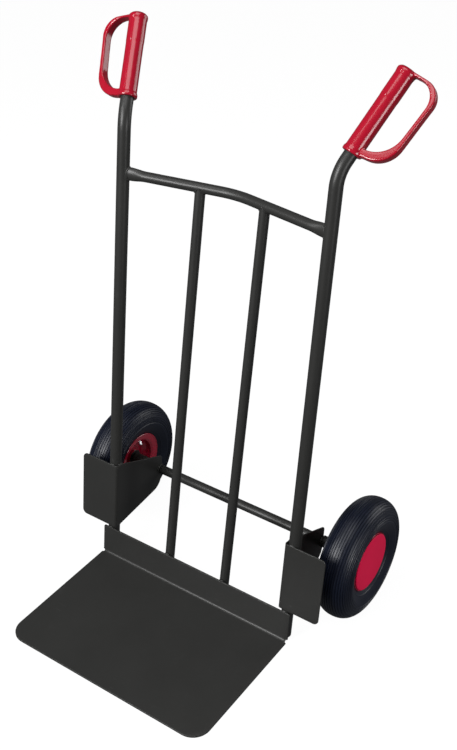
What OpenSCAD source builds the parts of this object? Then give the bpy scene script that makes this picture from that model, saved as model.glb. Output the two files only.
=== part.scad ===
// Hand truck: a leaned tubular frame on two pneumatic wheels, with a load plate in front.
// Millimetres. +Z is up, +Y is the rear, and the load plate points towards -Y.
// The origin is on the floor, under the middle of the whole truck.
// The frame is drawn upright in its own plane and then leaned back about the floor line.

/* [Frame] */
// Distance between the centre lines of the two uprights
frame_pitch = 452; // [380:2:520]
// Outside diameter of the uprights
upright_d = 25; // [22:1:28]
// Outside diameter of the crossbar and of the two inner bars
bar_d = 20; // [18:1:22]
// Wall of every tube
tube_wall = 2; // [1.5:0.5:2.5]
// How far the frame leans back from vertical, in degrees
lean = 7.5; // [4:0.5:10]
// Height of the crossbar along the uprights
crossbar_h = 867; // [780:1:900]
// Angle of each half of the bowed crossbar, in degrees
crossbar_bow = 12.5; // [6:0.5:14]
// Distance from the middle to each inner bar
inner_bar_x = 71; // [50:1:90]

/* [Handles] */
// Where the handle's line leaves the upright, along the upright
handle_h = 972; // [920:1:1050]
// Bend of each handle, in degrees
handle_bend = 35; // [25:1:45]
// How far each handle points outward from straight back, in degrees
handle_splay = 28; // [10:1:35]
// Centre line radius of the handle bend
handle_bend_r = 80; // [70:1:90]
// Outside diameter of the grip's sleeve
grip_d = 33.5; // [31:0.5:36]
// Length of the grip's sleeve
grip_l = 163; // [150:1:170]
// Width of the knuckle guard's band
guard_w = 18.5; // [16:0.5:24]
// Thickness of the knuckle guard's band beside the sleeve
guard_t = 8; // [6:0.5:10]
// How far the knuckle guard's outside stands from the middle of the grip
guard_out = 75; // [70:1:80]

/* [Load plate] */
// Width of the load plate
plate_w = 482; // [460:2:520]
// Reach of the load plate in front of the uprights' centre line
plate_reach = 319; // [250:1:350]
// Sheet thickness of the load plate
plate_t = 4; // [3:0.5:5]
// Height of the load plate's upturned rear edge above the floor
plate_rise = 69; // [50:1:72]
// Radius of the load plate's front corners
plate_corner_r = 38; // [20:1:50]

/* [Wheels] */
// Outside diameter of the tyre
tyre_d = 260; // [250:1:264]
// Width of the tyre
tyre_w = 77; // [76:1:82]
// Distance from the middle of the truck to the middle of each tyre
wheel_x = 298; // [294:1:310]
// Distance from the foot of the uprights back to the axle
axle_back = 160; // [156:1:164]
// Diameter of the axle
axle_d = 20; // [18:1:20]

/* [Wheel guards] */
// Sheet thickness of the wheel guards
guard_sheet_t = 3; // [2.5:0.5:3]
// Half width of the truck across the two wheel guards
guard_reach = 303.5; // [290:0.5:306]
// Lower end of the wheel guard, along the upright
guard_low = 74; // [72:1:80]
// Upper end of the wheel guard, along the upright
guard_high = 229; // [220:1:240]

/* [Hidden] */
$fn = 64;

paint = "#3a3b3d";
red = "#a8202f";
rubber = "#15181d";
steel = "#9a9ca0";

// Half pitch and radii of the frame.
upright_x = frame_pitch / 2;
upright_r = upright_d / 2;
bar_r = bar_d / 2;
// Weld gap left between a tube's coped end and the tube that it meets.
weld_gap = 0.2;
// The truck's middle, front to back, is put over the origin.
tyre_r = tyre_d / 2;
truck_y = (plate_reach - axle_back - tyre_r) / 2;
axle_z = tyre_r;
axle_r = axle_d / 2;
// How far the axle lies behind the frame's leaned plane.
axle_v = axle_back * cos(lean) - axle_z * sin(lean);
// Ends of the uprights' bend, from the point where the two centre lines cross.
bend_t = handle_bend_r * tan(handle_bend / 2);
// Where a bend meets a straight run: their overlap, and the step between their radii.
bend_overlap = 1;
bend_swell = 0.05;
// Grip: where the sleeve starts, past that crossing point, and how it closes.
grip_start = 37.5;
grip_end = grip_start + grip_l;
grip_r = grip_d / 2;
grip_cap = 6;
collar_r = grip_r + 1.6;
collar_l = 9;
leg_l = grip_end - grip_cap - 0.5;
// Turn of the knuckle guard about the grip, from the bend's plane.
guard_turn = -61;
// How much less the knuckle guard stands out at its foot than at its top.
guard_flare = 7;
// The knuckle guard's outside and opening: distance along the grip and out from it, corner radius.
guard_outside = [[grip_start + 1, 0, 0], [grip_start + 10, guard_out - guard_flare, 45],
    [grip_end - 2.5, guard_out, 32], [grip_end, 0, 0]];
guard_opening = [[grip_start + 16.5, 0, 0], [grip_start + 17.5, guard_out - guard_flare - guard_t, 50],
    [grip_end - 4, guard_out - guard_t, 35], [grip_end - 7.5, 0, 0]];
// Crossbar: radius of its middle bend, how far its two lines meet behind, and the bend's tangent.
bow_r = 150;
bow_back = upright_x * tan(crossbar_bow);
bow_tangent = bow_r * tan(crossbar_bow);
// The inner bars stand behind the load plate's rear edge and end under the crossbar.
inner_bar_foot_w = 14;
inner_bar_foot_v = -upright_r + bar_r + 0.1;
inner_bar_top_v = (upright_x - inner_bar_x) * tan(crossbar_bow);
inner_bar_rise = crossbar_h - inner_bar_foot_w;
inner_bar_tilt = atan((inner_bar_top_v - inner_bar_foot_v) / inner_bar_rise);
// Load plate bend: inside radius, and the small reliefs at its ends.
plate_bend_r = 6;
relief_r = 4;
// Wheel guard: faces that touch the upright, bend at the corner, and rear edge.
guard_face = upright_r + 0.05;
guard_bend_in = 3;
guard_bend_out = guard_bend_in + guard_sheet_t;
guard_bend_c = guard_bend_in - guard_face;
guard_rear = axle_v + 2.5;
guard_corner_r = 11;
axle_fit = 0.05;
// Wheel parts, as distances from the tyre's middle plane, positive outward.
hub_r = 18.5;
hub_bore_r = 16;
hub_in = -11;
hub_out = 16;
roller_r = 2.95;
roller_l = 20;
roller_pitch_r = 13;
roller_count = 10;
roller_mid = (hub_in + hub_out) / 2;
cage_l = 24;
washer_t = 2;
end_play = 0.3;
washer_r = 17.5;
ring_t = 1.2;
ring_groove = 18.5;
axle_end = 22;
web_t = 2;
spacer_r = 12.5;
// Tyre section: where the side starts, widest radius, squareness of the crown, tread and chamber.
side_r = 66;
side_z = 28;
shoulder_r = 92;
squareness = 2.2;
tread_t = 7;
chamber_w = tyre_w / 2 - 5;
// Inner tube: middle of its section, half height and wall.
tube_r = 90.3;
tube_high = 32.3;
tube_t = 2.5;
valve_turn = 20;

// Points of an arc of radius r about c, from angle a to b, in n steps.
function arc(c, r, a, b, n = 8) = [for (i = [0:n]) let (s = a + (b - a) * i / n) c + r * [cos(s), sin(s)]];

// The two-sided mirror: side is 1 for the right and -1 for the left.
module on_side(side) {
    if (side > 0) children();
    else mirror([1, 0, 0]) children();
}

module in_frame() {
    translate([0, truck_y, 0]) rotate([-lean, 0, 0]) children();
}

// From the crossing point of the upright and handle lines, Z runs along the handle.
module at_handle() {
    translate([upright_x, 0, handle_h]) rotate([0, 0, 90 - handle_splay])
        rotate([0, handle_bend, 0]) children();
}

// One solid of an upright's whole run at radius r: straight, bend and handle.
// The handle is a trace slimmer, and reaches a little way into the bend.
module upright_run(r, low, high) {
    start = bend_t - bend_overlap;
    translate([0, 0, low]) cylinder(h = handle_h - bend_t - low, r = r);
    translate([handle_bend_r, 0, handle_h - bend_t]) rotate([90, 0, 180])
        rotate_extrude(angle = handle_bend) translate([handle_bend_r, 0]) circle(r = r);
    translate([0, 0, handle_h]) rotate([0, handle_bend, 0])
        translate([0, 0, start]) cylinder(h = high - start, r = r - bend_swell);
}

module upright(side) {
    color(paint) on_side(side) difference() {
        in_frame() translate([upright_x, 0, 0]) rotate([0, 0, 90 - handle_splay]) difference() {
            upright_run(upright_r, -20, leg_l);
            upright_run(upright_r - tube_wall, -21, leg_l + 1);
        }
        // The foot is cut level, just clear of the floor.
        translate([upright_x - 40, -60, -60]) cube([80, 160, 60 + plate_t]);
    }
}

// One solid of the crossbar's whole run, at radius r, in the frame's plane.
// Its bend is a trace fuller than its two straight halves, which reach a little way into it.
module crossbar_run(r, length) {
    for (side = [-1, 1]) on_side(side)
        translate([0, bow_back, crossbar_h]) rotate([0, 0, -crossbar_bow])
            translate([bow_tangent - bend_overlap, 0, 0]) rotate([0, 90, 0])
                cylinder(h = length + bend_overlap, r = r);
    translate([0, bow_back - bow_r / cos(crossbar_bow), crossbar_h]) rotate([0, 0, 90 - crossbar_bow])
        rotate_extrude(angle = 2 * crossbar_bow) translate([bow_r, 0]) circle(r = r + bend_swell);
}

module crossbar() {
    reach = upright_x / cos(crossbar_bow) - bow_tangent;
    color(paint) in_frame() difference() {
        crossbar_run(bar_r, reach);
        crossbar_run(bar_r - tube_wall, reach + 1);
        for (side = [-1, 1])
            translate([side * upright_x, 0, crossbar_h - 40]) cylinder(h = 80, r = upright_r + weld_gap);
    }
}

module inner_bar(side) {
    color(paint) on_side(side) in_frame() difference() {
        translate([inner_bar_x, inner_bar_foot_v, inner_bar_foot_w]) rotate([-inner_bar_tilt, 0, 0])
            difference() {
                cylinder(h = inner_bar_rise, r = bar_r);
                translate([0, 0, -1]) cylinder(h = inner_bar_rise + 2, r = bar_r - tube_wall);
            }
        translate([0, bow_back, crossbar_h]) rotate([0, 0, -crossbar_bow])
            rotate([0, 90, 0]) cylinder(h = 160, r = bar_r + weld_gap);
    }
}

// The load plate's outline seen from above, with its two round front corners.
module plate_outline(depth) {
    half = plate_w / 2;
    translate([-half, -depth + plate_corner_r]) square([plate_w, depth - plate_corner_r]);
    translate([-half + plate_corner_r, -depth]) square([plate_w - 2 * plate_corner_r, plate_corner_r + 1]);
    for (side = [-1, 1])
        translate([side * (half - plate_corner_r), -depth + plate_corner_r]) circle(r = plate_corner_r);
}

// The load plate's section from front to rear: flat, bend and leaned rear edge.
module plate_section(depth, outer_r, rise) {
    c = [0, outer_r];
    across = [cos(lean), -sin(lean)];
    up = rise * [sin(lean), cos(lean)];
    polygon(concat([[-depth, 0]], arc(c, outer_r, -90, -lean), [c + outer_r * across + up],
        [c + plate_bend_r * across + up], arc(c, plate_bend_r, -lean, -90), [[-depth, plate_t]]));
}

module load_plate() {
    half = plate_w / 2;
    // The bend's centre: its outside touches the floor and its back touches the uprights.
    outer_r = plate_bend_r + plate_t;
    bend_y = -(upright_r + 0.05 + outer_r) / cos(lean) + outer_r * tan(lean);
    reach = plate_reach + bend_y;
    rise = (plate_rise - outer_r * (1 - sin(lean))) / cos(lean);
    color(paint) translate([0, truck_y + bend_y, 0]) difference() {
        intersection() {
            translate([-half, 0, 0]) rotate([90, 0, 90]) linear_extrude(plate_w)
                plate_section(reach, outer_r, rise);
            linear_extrude(2 * plate_rise) union() {
                plate_outline(reach);
                translate([-half, -1]) square([plate_w, plate_rise]);
            }
        }
        for (side = [-1, 1])
            translate([side * half, outer_r / 2, -1]) cylinder(h = 2 * outer_r, r = relief_r);
    }
}

// Plan of a wheel guard: across the front of the upright, round a tight bend and back along its inner side.
module guard_plan() {
    c = guard_bend_c;
    translate([c, -guard_face - guard_sheet_t]) square([guard_reach - upright_x - c, guard_sheet_t]);
    translate([c, c]) intersection() {
        difference() {
            circle(r = guard_bend_out);
            circle(r = guard_bend_in);
        }
        translate([-guard_bend_out, -guard_bend_out]) square(guard_bend_out);
    }
    translate([-guard_face - guard_sheet_t, c]) square([guard_sheet_t, guard_rear - c]);
}

// Outline of the guard's side: front edge, sloping foot with a large round, rear edge, sloping top.
module guard_side_outline() {
    foot_slope = atan(0.235);
    top_slope = atan(-0.315);
    foot_r = 32;
    foot_v = guard_rear - foot_r;
    foot_c = [foot_v, guard_low + foot_v * tan(foot_slope) + foot_r / cos(foot_slope)];
    top_r = 10;
    top_v = guard_rear - top_r;
    top_c = [top_v, guard_high + top_v * tan(top_slope) - top_r / cos(top_slope)];
    polygon(concat([[0, guard_high], [-2 * upright_d, guard_high], [-2 * upright_d, guard_low], [0, guard_low]],
        arc(foot_c, foot_r, foot_slope - 90, 0), arc(top_c, top_r, 0, 90 + top_slope)));
}

// Outline of the guard's front, with its two round outer corners.
module guard_front_outline() {
    wide = guard_reach - upright_x;
    translate([-2 * upright_d, guard_low])
        square([2 * upright_d + wide - guard_corner_r, guard_high - guard_low]);
    translate([0, guard_low + guard_corner_r]) square([wide, guard_high - guard_low - 2 * guard_corner_r]);
    for (w = [guard_low + guard_corner_r, guard_high - guard_corner_r])
        translate([wide - guard_corner_r, w]) circle(r = guard_corner_r);
}

module wheel_guard(side) {
    color(paint) on_side(side) difference() {
        in_frame() translate([upright_x, 0, 0]) intersection() {
            translate([0, 0, guard_low - 1]) linear_extrude(guard_high - guard_low + 2) guard_plan();
            translate([-upright_d, 0, 0]) rotate([90, 0, 90]) linear_extrude(150) guard_side_outline();
            translate([0, 200, 0]) rotate([90, 0, 0]) linear_extrude(300) guard_front_outline();
        }
        // The axle lies in a notch that is open to the rear.
        translate([upright_x - upright_d, truck_y + axle_back, axle_z]) rotate([0, 90, 0]) {
            cylinder(h = upright_d, r = axle_r + axle_fit);
            translate([-axle_r - axle_fit, 0, 0]) cube([2 * (axle_r + axle_fit), 20, upright_d]);
        }
    }
}

// Puts a wheel part at its wheel: the part is drawn with Z along the axle, outward.
module at_wheel(side) {
    on_side(side) translate([wheel_x, truck_y + axle_back, axle_z]) rotate([0, 90, 0]) children();
}

module ring(r_out, r_in, from, to) {
    translate([0, 0, from]) difference() {
        cylinder(h = to - from, r = r_out);
        translate([0, 0, -1]) cylinder(h = to - from + 2, r = r_in);
    }
}

module axle() {
    half = wheel_x + axle_end;
    chamfer = 1.5;
    color(paint) translate([0, truck_y + axle_back, axle_z]) rotate([0, 90, 0])
        rotate_extrude() polygon([[0, -half], [axle_r - chamfer, -half], [axle_r, -half + chamfer],
            [axle_r, -wheel_x - ring_groove - 1.3], [axle_r - 1, -wheel_x - ring_groove - 1.3],
            [axle_r - 1, -wheel_x - ring_groove], [axle_r, -wheel_x - ring_groove],
            [axle_r, wheel_x + ring_groove], [axle_r - 1, wheel_x + ring_groove],
            [axle_r - 1, wheel_x + ring_groove + 1.3], [axle_r, wheel_x + ring_groove + 1.3],
            [axle_r, half - chamfer], [axle_r - chamfer, half], [0, half]]);
}

// Sleeve with a collar at its mouth, a collar at its top and a closed, rounded end.
module grip_sleeve() {
    difference() {
        rotate_extrude() polygon(concat([[0, grip_start], [collar_r - 1.5, grip_start]],
            arc([collar_r - 1.5, grip_start + 1.5], 1.5, -90, 0, 3),
            arc([collar_r - 1.5, grip_start + collar_l - 1.5], 1.5, 0, 90, 3),
            [[grip_r, grip_start + collar_l + 1], [grip_r, grip_end - collar_l - 1]],
            arc([collar_r - 1.5, grip_end - collar_l + 1.5], 1.5, -90, 0, 3),
            arc([collar_r - grip_cap, grip_end - grip_cap], grip_cap, 0, 90, 6), [[0, grip_end]]));
        translate([0, 0, grip_start - 1]) cylinder(h = grip_l - grip_cap + 1, r = upright_r + 0.05);
    }
}

// Direction from point p to point q, in degrees.
function heading(p, q) = atan2(q[1] - p[1], q[0] - p[0]);

// Points of a path whose inner corners are round.
function rounded_path(path) = concat([[path[0][0], path[0][1]]],
    [for (i = [1:len(path) - 2]) let (
        a = heading(path[i - 1], path[i]), b = heading(path[i], path[i + 1]),
        r = path[i][2], back = r * tan((a - b) / 2),
        c = [path[i][0], path[i][1]] - back * [cos(a), sin(a)] + r * [sin(a), -cos(a)])
        each arc(c, r, a + 90, b + 90)],
    [[path[len(path) - 1][0], path[len(path) - 1][1]]]);

// The knuckle guard: a flat band that leaves the mouth, runs beside the sleeve and meets its top.
module knuckle_guard() {
    difference() {
        rotate([0, 0, guard_turn]) translate([0, guard_w / 2, 0]) rotate([90, 0, 0]) mirror([1, -1, 0])
            linear_extrude(guard_w) difference() {
                polygon(rounded_path(guard_outside));
                polygon(rounded_path(guard_opening));
            }
        translate([0, 0, grip_start]) cylinder(h = grip_l + 1, r = grip_r - 2);
    }
}

module grip(side) {
    color(red) on_side(side) in_frame() at_handle() {
        grip_sleeve();
        knuckle_guard();
    }
}

// Tube that keeps the wheel away from the wheel guard.
module spacer(side) {
    color(paint) at_wheel(side)
        ring(spacer_r, axle_r + 0.1, upright_x - upright_r + 0.1 - wheel_x, hub_in - end_play - washer_t - 0.1);
}

module inner_washer(side) {
    color(steel) at_wheel(side)
        ring(washer_r, axle_r + 0.1, hub_in - end_play - washer_t, hub_in - end_play);
}

module outer_washer(side) {
    color(steel) at_wheel(side)
        ring(washer_r, axle_r + 0.1, hub_out + end_play, hub_out + end_play + washer_t - 0.1);
}

module retaining_ring(side) {
    color(steel) at_wheel(side) translate([0, 0, ring_groove + 0.05]) rotate([0, 0, -60])
        rotate_extrude(angle = 300) translate([axle_r - 0.9, 0]) square([3.6, ring_t]);
}

// Half of the tyre's outer section, as radius and offset, from the bead over the shoulder to the crown.
function tyre_outer() = concat([[47.2, 16.5], [47.2, 20.8], [50.9, 23.1], [60.2, 24.75], [63, 25.3], [64, 26.4]],
    sidewall(side_r, side_z, tyre_w / 2), crown(tyre_r - shoulder_r, tyre_w / 2));
// Half of the air chamber's section, from the bead to the crown.
function tyre_inner() = concat([[57, 12]], sidewall(60, 18, chamber_w),
    crown(tyre_r - tread_t - shoulder_r, chamber_w));
// The side's curve from radius from_r, at offset from_z, up to the widest point.
function sidewall(from_r, from_z, wide) = [for (i = [0:7]) let (s = 1 - i / 7)
    [shoulder_r - (shoulder_r - from_r) * s, wide - (wide - from_z) * pow(s, 1.6)]];
// Squared-off quarter of an ellipse from the widest point up to the middle of the tread.
function crown(high, wide) = [for (i = [1:12]) let (s = 90 * i / 12)
    [shoulder_r + high * pow(sin(s), 2 / squareness), wide * pow(cos(s), 2 / squareness)]];
// The other half of a section, drawn back from the crown.
function other_half(points) = [for (i = [len(points) - 2:-1:0]) [points[i][0], -points[i][1]]];
function reversed(points) = [for (i = [len(points) - 1:-1:0]) points[i]];

module tyre(side) {
    color(rubber) at_wheel(side) rotate_extrude() polygon(concat(tyre_outer(), other_half(tyre_outer()),
        reversed(concat(tyre_inner(), other_half(tyre_inner())))));
}

// Section of the inner tube: an ellipse that narrows towards the beads.
function tube_ring(wide, high) = [for (i = [0:31]) let (s = 360 * i / 32)
    [tube_r + high * sin(s), wide * cos(s) * (sin(s) < 0 ? abs(cos(s)) : 1)]];

module inner_tube(side) {
    tube_w = chamber_w - 1.5;
    color("#2a2a2c") at_wheel(side) difference() {
        rotate_extrude() polygon(tube_ring(tube_w, tube_high));
        rotate_extrude() polygon(tube_ring(tube_w - tube_t, tube_high - tube_t));
        at_valve() translate([0, 0, -12]) cylinder(h = 14, r = 1.5);
    }
}

// From the valve's base, Z runs out along the valve, inward to the axle and away from the tyre's middle.
module at_valve() {
    rotate([0, 0, 180 - valve_turn]) translate([55.2, 0, -6.5]) rotate([0, -125, 0]) children();
}

// Half of a pressed rim: web, well, bead seat, flange and rolled lip, drawn on the outer side.
module rim_half() {
    rotate_extrude() polygon([[hub_r + 0.05, 0], [39, 0], [47, 9], [47, 21], [51, 23.3], [60, 24.9],
        [62, 25.4], [63.2, 26.4], [63.2, 27.4], [62.4, 28], [61.4, 27.6], [59.5, 26.9], [50, 25.2],
        [45, 22.2], [45, 10], [38, web_t], [hub_r + 0.05, web_t]]);
}

module outer_rim(side) {
    color(red) at_wheel(side) rim_half();
}

module inner_rim(side) {
    color(red) at_wheel(side) difference() {
        mirror([0, 0, 1]) rim_half();
        at_valve() cylinder(h = 20, r = 4.2);
    }
}

module hub(side) {
    color(red) at_wheel(side) ring(hub_r, hub_bore_r, hub_in, hub_out);
}

// Ring that spaces the rollers, with an open pocket for each.
module roller_cage(side) {
    color("#d8d4c4") at_wheel(side) translate([0, 0, roller_mid - cage_l / 2]) difference() {
        cylinder(h = cage_l, r = 15.4);
        translate([0, 0, -1]) cylinder(h = cage_l + 2, r = 10.6);
        at_rollers() translate([0, 0, (cage_l - roller_l) / 2 - 0.2])
            cylinder(h = roller_l + 0.4, r = roller_r + 0.15);
    }
}

module at_rollers() {
    for (i = [0:roller_count - 1])
        rotate([0, 0, 360 * i / roller_count]) translate([roller_pitch_r, 0, 0]) children();
}

module rollers(side) {
    color(steel) at_wheel(side) translate([0, 0, roller_mid - roller_l / 2])
        at_rollers() cylinder(h = roller_l, r = roller_r);
}

// Flat disc that fills the rim's mouth, with a ring behind it that snaps into the rim.
module hub_cap(side) {
    color(red) at_wheel(side) rotate_extrude() polygon([[0, 28.4], [42.9, 28.4], [42.9, 15], [44.9, 15],
        [44.9, 27.2], [59, 27.2], [61, 28.2], [61.3, 29.2], [60.6, 30.2], [59.2, 30.8], [0, 31]]);
}

module valve(side) {
    color(steel) at_wheel(side) at_valve() difference() {
        union() {
            translate([0, 0, -0.5]) cylinder(h = 1.5, r = 4.5);
            cylinder(h = 14, r = 3.2);
            translate([0, 0, 13]) cylinder(h = 11, r = 2.6);
        }
        translate([0, 0, -1]) cylinder(h = 26, r = 1);
    }
}

module valve_cap(side) {
    color(steel) at_wheel(side) at_valve() difference() {
        translate([0, 0, 17]) cylinder(h = 10, r = 3.8);
        translate([0, 0, 16]) cylinder(h = 9, r = 2.65);
    }
}

upright(-1);  // left_upright
upright(1);  // right_upright
crossbar();
inner_bar(-1);  // left_inner_bar
inner_bar(1);  // right_inner_bar
load_plate();
wheel_guard(-1);  // left_wheel_guard
wheel_guard(1);  // right_wheel_guard
axle();
grip(-1);  // left_grip
grip(1);  // right_grip
spacer(-1);  // left_spacer
spacer(1);  // right_spacer
inner_washer(-1);  // left_inner_washer
inner_washer(1);  // right_inner_washer
outer_washer(-1);  // left_outer_washer
outer_washer(1);  // right_outer_washer
retaining_ring(-1);  // left_retaining_ring
retaining_ring(1);  // right_retaining_ring
tyre(-1);  // left_tyre
tyre(1);  // right_tyre
inner_tube(-1);  // left_inner_tube
inner_tube(1);  // right_inner_tube
inner_rim(-1);  // left_inner_rim
inner_rim(1);  // right_inner_rim
outer_rim(-1);  // left_outer_rim
outer_rim(1);  // right_outer_rim
hub(-1);  // left_hub
hub(1);  // right_hub
roller_cage(-1);  // left_roller_cage
roller_cage(1);  // right_roller_cage
rollers(-1);  // left_rollers
rollers(1);  // right_rollers
hub_cap(-1);  // left_hub_cap
hub_cap(1);  // right_hub_cap
valve(-1);  // left_valve
valve(1);  // right_valve
valve_cap(-1);  // left_valve_cap
valve_cap(1);  // right_valve_cap
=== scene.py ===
"""Hand truck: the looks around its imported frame, in metres and in the frame's own coordinates."""
import math

import bmesh
import bpy
import numpy as np
from mathutils import Matrix, Vector


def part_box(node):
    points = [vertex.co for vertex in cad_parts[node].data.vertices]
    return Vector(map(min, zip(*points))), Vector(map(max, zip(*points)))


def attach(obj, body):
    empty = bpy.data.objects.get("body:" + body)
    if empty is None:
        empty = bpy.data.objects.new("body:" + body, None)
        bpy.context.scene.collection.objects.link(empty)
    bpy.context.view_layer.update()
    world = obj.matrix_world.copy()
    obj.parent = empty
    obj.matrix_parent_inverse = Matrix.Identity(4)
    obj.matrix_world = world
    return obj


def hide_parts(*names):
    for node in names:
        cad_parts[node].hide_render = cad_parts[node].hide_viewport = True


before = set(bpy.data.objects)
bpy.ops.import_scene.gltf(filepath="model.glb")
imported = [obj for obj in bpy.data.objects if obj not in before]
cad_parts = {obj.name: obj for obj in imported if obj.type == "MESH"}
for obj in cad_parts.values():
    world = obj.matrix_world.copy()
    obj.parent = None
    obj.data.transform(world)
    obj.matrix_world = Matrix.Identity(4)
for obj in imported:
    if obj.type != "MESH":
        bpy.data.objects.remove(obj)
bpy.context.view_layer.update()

MM = 0.001
AROUND = 40
X_AXIS, Z_AXIS = np.eye(3)[[0, 2]]

# ---------------------------------------------------------------- sizes, in millimetres


def cad(node):
    """Lowest and highest corner of a CAD node, in millimetres."""
    return [np.array(corner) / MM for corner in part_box(node)]


TYRE_LOW, TYRE_HIGH = cad("right_tyre")
WHEEL_CENTRE = (TYRE_LOW + TYRE_HIGH) / 2
TYRE_R = (TYRE_HIGH[2] - TYRE_LOW[2]) / 2
TYRE_HALF = (TYRE_HIGH[0] - TYRE_LOW[0]) / 2
PLATE_LOW, PLATE_HIGH = cad("load_plate")
GUARD_HIGH = cad("right_wheel_guard")[1]

LEAN = math.radians(7.5)
AXLE_BACK = 160.0
FOOT_Y = WHEEL_CENTRE[1] - AXLE_BACK
UPRIGHT_X = 226.0
UPRIGHT_R = 12.5
BAR_R = 10.0
WALL = 2.0
CROSSBAR_W = 867.0
BOW = math.radians(12.5)
BOW_R = 150.0
BOW_BACK = UPRIGHT_X * math.tan(BOW)
BAR_X = 71.0
HANDLE_W = 972.0
HANDLE_BEND = math.radians(35)
HANDLE_TURN = math.radians(90 - 28)
HANDLE_R = 80.0
AXLE_R = 10.0
GUARD_W = 74.0, 229.0
PLATE_T = 4.0
PLATE_BEND_R = 6.0
AXLE_V = AXLE_BACK * math.cos(LEAN) - WHEEL_CENTRE[2] * math.sin(LEAN)
AXLE_W = AXLE_BACK * math.sin(LEAN) + WHEEL_CENTRE[2] * math.cos(LEAN)
PLATE_OUTER_R = PLATE_BEND_R + PLATE_T
PLATE_BEND_Y = FOOT_Y - (UPRIGHT_R + 0.05 + PLATE_OUTER_R) / math.cos(LEAN) + PLATE_OUTER_R * math.tan(LEAN)
PLATE_FLAT = PLATE_BEND_Y - PLATE_LOW[1]


# ---------------------------------------------------------------- finishes


class Value:
    """A number that varies over a surface. Python's operators on it add Math nodes."""

    def __init__(self, finish, socket):
        self.finish, self.socket = finish, socket

    def math(self, operation, *others):
        sockets = dict(enumerate((self, *others)))
        return Value(self.finish, self.finish.node("Math", sockets, operation=operation).outputs[0])

    def __add__(self, other):
        return self.math("ADD", other)

    def __sub__(self, other):
        return self.math("SUBTRACT", other)

    def __rsub__(self, other):
        return self.math("MULTIPLY", -1.0) + other

    def __mul__(self, other):
        return self.math("MULTIPLY", other)

    __radd__ = __add__
    __rmul__ = __mul__


class Finish:
    """One material, built from nodes on the piece's own coordinates."""

    def __init__(self, name):
        self.material = bpy.data.materials.new(name)
        self.material.use_nodes = True
        self.tree = self.material.node_tree
        self.tree.nodes.clear()
        self.place = self.node("TexCoord").outputs["Object"]

    def node(self, kind, sockets=None, stops=None, **settings):
        made = self.tree.nodes.new("ShaderNode" + kind)
        for key, setting in settings.items():
            setattr(made, key, setting)
        if stops:
            elements = made.color_ramp.elements
            while len(elements) < len(stops):
                elements.new(1.0)
            for element, (place, shade) in zip(elements, stops):
                element.position, element.color = place, (shade, shade, shade, 1)
        for key, given in (sockets or {}).items():
            given = given.socket if isinstance(given, Value) else given
            if isinstance(given, bpy.types.NodeSocket):
                self.tree.links.new(given, made.inputs[key])
            else:
                made.inputs[key].default_value = given
        return made

    def noise(self, size_mm, detail=2.0, rough=0.5, stretch=(1, 1, 1), warp=0.0):
        """Noise whose features are size_mm across, longer along an axis where stretch is above 1."""
        scale = tuple(1 / (size_mm * MM * s) for s in stretch)
        spot = self.node("Mapping", {"Vector": self.place, "Scale": scale}).outputs[0]
        made = self.node("TexNoise", {"Vector": spot, "Scale": 1.0, "Detail": detail,
                                      "Roughness": rough, "Distortion": warp})
        return Value(self, made.outputs["Fac"])

    def step(self, value, low, high):
        """0 below low, 1 above high, and smooth between."""
        sockets = {"Value": value, "From Min": low, "From Max": high}
        return Value(self, self.node("MapRange", sockets, interpolation_type="SMOOTHSTEP").outputs[0])

    def mix(self, share, first, second):
        """Colour from first to second as share goes from 0 to 1."""
        colours = {0: share, 6: first, 7: second}
        return self.node("Mix", colours, data_type="RGBA").outputs[2]

    def bump(self, height, depth_mm, strength=1.0, under=None):
        sockets = {"Height": height, "Distance": depth_mm * MM, "Strength": strength}
        if under is not None:
            sockets["Normal"] = under
        return self.node("Bump", sockets).outputs[0]

    def surface(self, **sockets):
        named = {key.replace("_", " "): given for key, given in sockets.items()}
        shader = self.node("BsdfPrincipled", named)
        self.node("OutputMaterial", {"Surface": shader.outputs[0]})
        return self.material


def rgb(red, green, blue):
    """Linear colour with alpha, from the eye's 0 to 255 scale."""
    def linear(level):
        level /= 255
        return level / 12.92 if level <= 0.04045 else ((level + 0.055) / 1.055) ** 2.4
    return (linear(red), linear(green), linear(blue), 1.0)


def powder_coat():
    """Satin anthracite powder coat: fine orange peel, faint clouding, rubbed spots and fine scratches."""
    f = Finish("anthracite_powder_coat")
    peel = f.noise(1.6, 3)
    fine = f.noise(0.45, 2)
    cloud = f.noise(120, 3, 0.6)
    rub = f.step(f.noise(26, 5, 0.7, warp=1.2), 0.60, 0.78)
    scratch = f.step(f.noise(1.2, 2, 0.5, stretch=(30, 1.6, 30)), 0.70, 0.80) * f.step(f.noise(70, 2), 0.5, 0.65)
    base = f.mix(cloud, rgb(32, 32, 31), rgb(38, 38, 37))
    base = f.mix(rub * 0.25, base, rgb(54, 54, 53))
    base = f.mix(scratch * 0.5, base, rgb(76, 76, 75))
    rough = 0.31 + cloud * 0.06 + rub * 0.1 + fine * 0.05
    normal = f.bump(peel, 0.04, 0.25, f.bump(fine, 0.01, 0.15))
    return f.surface(Base_Color=base, Roughness=rough, Specular_IOR_Level=0.22, Normal=normal)


def red_moulding():
    """Glossy red moulded plastic of the grips, with a faint flow pattern and a hand-polished sheen."""
    f = Finish("red_grip_moulding")
    flow = f.noise(34, 3, 0.55, stretch=(1, 1, 2.2), warp=0.6)
    wave = f.noise(16, 1)
    handled = f.step(f.noise(22, 4, 0.6), 0.45, 0.7)
    base = f.mix(flow, rgb(126, 8, 26), rgb(140, 10, 32))
    base = f.mix(handled * 0.2, base, rgb(116, 8, 24))
    rough = 0.17 + handled * 0.05
    normal = f.bump(wave, 0.06, 0.2)
    return f.surface(Base_Color=base, Roughness=rough, Specular_IOR_Level=0.4, Normal=normal)


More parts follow.
